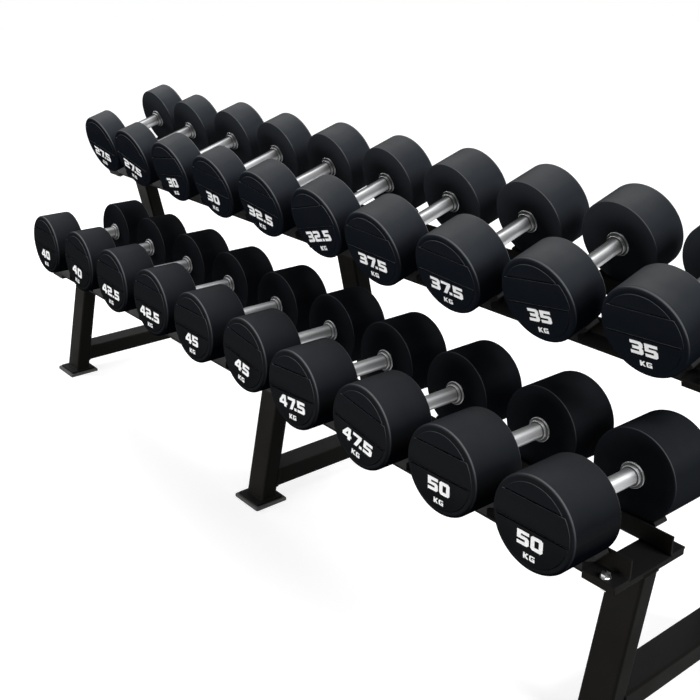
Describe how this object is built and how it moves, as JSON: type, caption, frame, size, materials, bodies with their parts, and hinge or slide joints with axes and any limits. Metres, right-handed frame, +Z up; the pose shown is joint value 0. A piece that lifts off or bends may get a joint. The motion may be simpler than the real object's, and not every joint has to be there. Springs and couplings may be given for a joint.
{
  "type": "dumbbell rack",
  "caption": "Tiered saddle rack of black steel angle and leaning tube legs, loaded with round rubber dumbbells on chromed handles that lift out of moulded saddles.",
  "frame": {"origin": "on the floor, in the middle of the loaded rack's outline", "axes": "+X along the rack to the right seen from the front, +Y to the back, +Z up"},
  "size_m": [2.408, 0.6562, 0.9765],
  "materials": {
    "frame_paint": "satin black powder coat",
    "saddle_polymer": "moulded satin black",
    "head_rubber": "smooth satin black",
    "pad_rubber": "matt black",
    "handle_chrome": "polished",
    "fastener_zinc": "zinc plated"
  },
  "bodies": {
    "rack": {"front_legs": "frame_paint", "rear_legs": "frame_paint", "base_bars": "frame_paint", "foot_plates": "frame_paint", "foot_pads": "pad_rubber", "lower_arms": "frame_paint", "upper_arms": "frame_paint", "lower_front_rail": "frame_paint", "lower_rear_rail": "frame_paint", "upper_front_rail": "frame_paint", "upper_rear_rail": "frame_paint", "lower_front_saddles": "saddle_polymer", "lower_rear_saddles": "saddle_polymer", "upper_front_saddles": "saddle_polymer", "upper_rear_saddles": "saddle_polymer", "rail_bolts": "fastener_zinc", "rail_washers": "fastener_zinc", "rail_nuts": "fastener_zinc", "saddle_screws": "fastener_zinc"},
    "lower_01_dumbbell": {"lower_01_handle": "handle_chrome", "lower_01_heads": "head_rubber"},
    "lower_02_dumbbell": {"lower_02_handle": "handle_chrome", "lower_02_heads": "head_rubber"},
    "lower_03_dumbbell": {"lower_03_handle": "handle_chrome", "lower_03_heads": "head_rubber"},
    "lower_04_dumbbell": {"lower_04_handle": "handle_chrome", "lower_04_heads": "head_rubber"},
    "lower_05_dumbbell": {"lower_05_handle": "handle_chrome", "lower_05_heads": "head_rubber"},
    "lower_06_dumbbell": {"lower_06_handle": "handle_chrome", "lower_06_heads": "head_rubber"},
    "lower_07_dumbbell": {"lower_07_handle": "handle_chrome", "lower_07_heads": "head_rubber"},
    "lower_08_dumbbell": {"lower_08_handle": "handle_chrome", "lower_08_heads": "head_rubber"},
    "lower_09_dumbbell": {"lower_09_handle": "handle_chrome", "lower_09_heads": "head_rubber"},
    "lower_10_dumbbell": {"lower_10_handle": "handle_chrome", "lower_10_heads": "head_rubber"},
    "upper_01_dumbbell": {"upper_01_handle": "handle_chrome", "upper_01_heads": "head_rubber"},
    "upper_02_dumbbell": {"upper_02_handle": "handle_chrome", "upper_02_heads": "head_rubber"},
    "upper_03_dumbbell": {"upper_03_handle": "handle_chrome", "upper_03_heads": "head_rubber"},
    "upper_04_dumbbell": {"upper_04_handle": "handle_chrome", "upper_04_heads": "head_rubber"},
    "upper_05_dumbbell": {"upper_05_handle": "handle_chrome", "upper_05_heads": "head_rubber"},
    "upper_06_dumbbell": {"upper_06_handle": "handle_chrome", "upper_06_heads": "head_rubber"},
    "upper_07_dumbbell": {"upper_07_handle": "handle_chrome", "upper_07_heads": "head_rubber"},
    "upper_08_dumbbell": {"upper_08_handle": "handle_chrome", "upper_08_heads": "head_rubber"},
    "upper_09_dumbbell": {"upper_09_handle": "handle_chrome", "upper_09_heads": "head_rubber"},
    "upper_10_dumbbell": {"upper_10_handle": "handle_chrome", "upper_10_heads": "head_rubber"}
  },
  "joints": [
    {"name": "lower_01_lift", "type": "slide", "parent": "rack", "child": "lower_01_dumbbell", "axis": [0, 0, 1], "range_m": [0, 0.065]},
    {"name": "lower_02_lift", "type": "slide", "parent": "rack", "child": "lower_02_dumbbell", "axis": [0, 0, 1], "range_m": [0, 0.065]},
    {"name": "lower_03_lift", "type": "slide", "parent": "rack", "child": "lower_03_dumbbell", "axis": [0, 0, 1], "range_m": [0, 0.065]},
    {"name": "lower_04_lift", "type": "slide", "parent": "rack", "child": "lower_04_dumbbell", "axis": [0, 0, 1], "range_m": [0, 0.065]},
    {"name": "lower_05_lift", "type": "slide", "parent": "rack", "child": "lower_05_dumbbell", "axis": [0, 0, 1], "range_m": [0, 0.065]},
    {"name": "lower_06_lift", "type": "slide", "parent": "rack", "child": "lower_06_dumbbell", "axis": [0, 0, 1], "range_m": [0, 0.065]},
    {"name": "lower_07_lift", "type": "slide", "parent": "rack", "child": "lower_07_dumbbell", "axis": [0, 0, 1], "range_m": [0, 0.065]},
    {"name": "lower_08_lift", "type": "slide", "parent": "rack", "child": "lower_08_dumbbell", "axis": [0, 0, 1], "range_m": [0, 0.065]},
    {"name": "lower_09_lift", "type": "slide", "parent": "rack", "child": "lower_09_dumbbell", "axis": [0, 0, 1], "range_m": [0, 0.065]},
    {"name": "lower_10_lift", "type": "slide", "parent": "rack", "child": "lower_10_dumbbell", "axis": [0, 0, 1], "range_m": [0, 0.065]},
    {"name": "upper_01_lift", "type": "slide", "parent": "rack", "child": "upper_01_dumbbell", "axis": [0, -0.2857, 0.9583], "range_m": [0, 0.15]},
    {"name": "upper_02_lift", "type": "slide", "parent": "rack", "child": "upper_02_dumbbell", "axis": [0, -0.2857, 0.9583], "range_m": [0, 0.15]},
    {"name": "upper_03_lift", "type": "slide", "parent": "rack", "child": "upper_03_dumbbell", "axis": [0, -0.2857, 0.9583], "range_m": [0, 0.15]},
    {"name": "upper_04_lift", "type": "slide", "parent": "rack", "child": "upper_04_dumbbell", "axis": [0, -0.2857, 0.9583], "range_m": [0, 0.15]},
    {"name": "upper_05_lift", "type": "slide", "parent": "rack", "child": "upper_05_dumbbell", "axis": [0, -0.2857, 0.9583], "range_m": [0, 0.15]},
    {"name": "upper_06_lift", "type": "slide", "parent": "rack", "child": "upper_06_dumbbell", "axis": [0, -0.2857, 0.9583], "range_m": [0, 0.15]},
    {"name": "upper_07_lift", "type": "slide", "parent": "rack", "child": "upper_07_dumbbell", "axis": [0, -0.2857, 0.9583], "range_m": [0, 0.15]},
    {"name": "upper_08_lift", "type": "slide", "parent": "rack", "child": "upper_08_dumbbell", "axis": [0, -0.2857, 0.9583], "range_m": [0, 0.15]},
    {"name": "upper_09_lift", "type": "slide", "parent": "rack", "child": "upper_09_dumbbell", "axis": [0, -0.2857, 0.9583], "range_m": [0, 0.15]},
    {"name": "upper_10_lift", "type": "slide", "parent": "rack", "child": "upper_10_dumbbell", "axis": [0, -0.2857, 0.9583], "range_m": [0, 0.15]}
  ]
}
